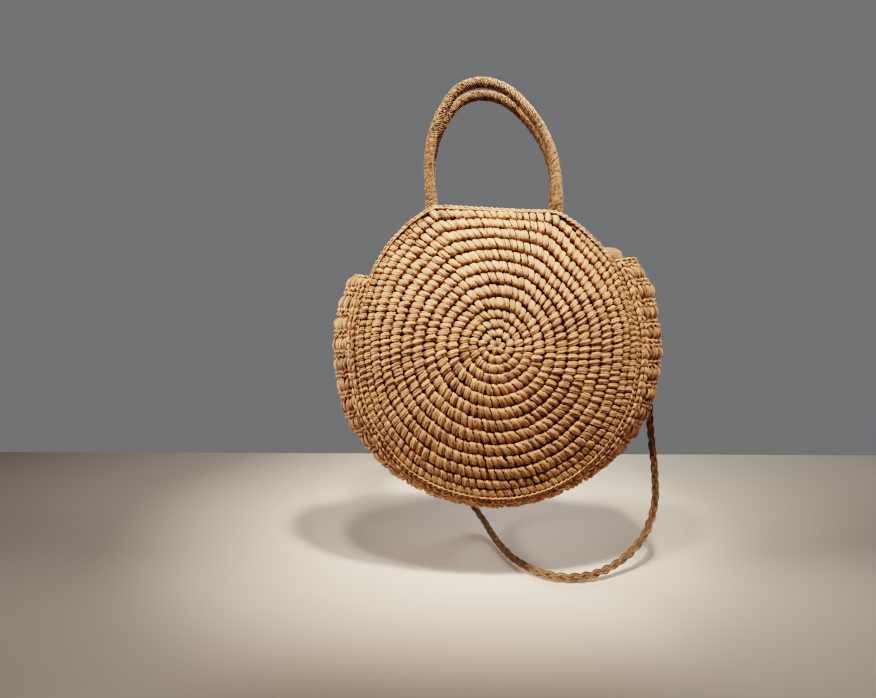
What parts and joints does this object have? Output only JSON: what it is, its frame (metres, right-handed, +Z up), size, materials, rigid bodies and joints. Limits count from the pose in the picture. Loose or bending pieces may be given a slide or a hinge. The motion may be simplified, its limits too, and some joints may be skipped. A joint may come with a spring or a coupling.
{
  "type": "round straw bag",
  "caption": "Round crocheted straw bag with crowned faces, a bowed gusset, folding rope handles, a plaited shoulder strap and a cotton lining that snaps shut.",
  "frame": {"origin": "the point midway between the two upright handles, level with the underside of their crowns, where a hook or a hand carries the bag", "axes": "+X to the wearer's right seen from the front, +Y to the back, +Z up; the front face looks along -Y"},
  "size_m": [0.414, 0.2096, 0.6001],
  "materials": {
    "crochet_straw": "crocheted paper straw, dull with a slight sheen on the strands",
    "rim_straw": "crocheted chain of straw",
    "handle_straw": "straw wound tightly over rope",
    "plaited_straw": "plaited straw",
    "rope_core": "twisted cotton rope",
    "cotton_lining": "plain woven cotton",
    "snap_metal": "satin plated"
  },
  "bodies": {
    "bag": {"front_panel": "crochet_straw", "back_panel": "crochet_straw", "gusset": "crochet_straw", "front_rim_chain": "rim_straw", "back_rim_chain": "rim_straw", "front_handle_tails": "handle_straw", "back_handle_tails": "handle_straw", "shoulder_strap": "plaited_straw", "strap_anchor_right": "plaited_straw", "strap_anchor_left": "plaited_straw", "lining_front": "cotton_lining", "lining_back": "cotton_lining", "lining_gusset": "cotton_lining", "snap_stud": "snap_metal", "snap_socket": "snap_metal", "snap_washers": "snap_metal"},
    "front_handle": {"front_handle_core": "rope_core", "front_handle_wrap": "handle_straw"},
    "back_handle": {"back_handle_core": "rope_core", "back_handle_wrap": "handle_straw"}
  },
  "joints": [
    {"name": "front_handle_fold", "type": "hinge", "parent": "bag", "child": "front_handle", "pos_m": [0, -0.01495, -0.13567], "axis": [1, 0, 0], "range_deg": [-3, 90]},
    {"name": "back_handle_fold", "type": "hinge", "parent": "bag", "child": "back_handle", "pos_m": [0, 0.01495, -0.13567], "axis": [-1, 0, 0], "range_deg": [-3, 90]}
  ]
}
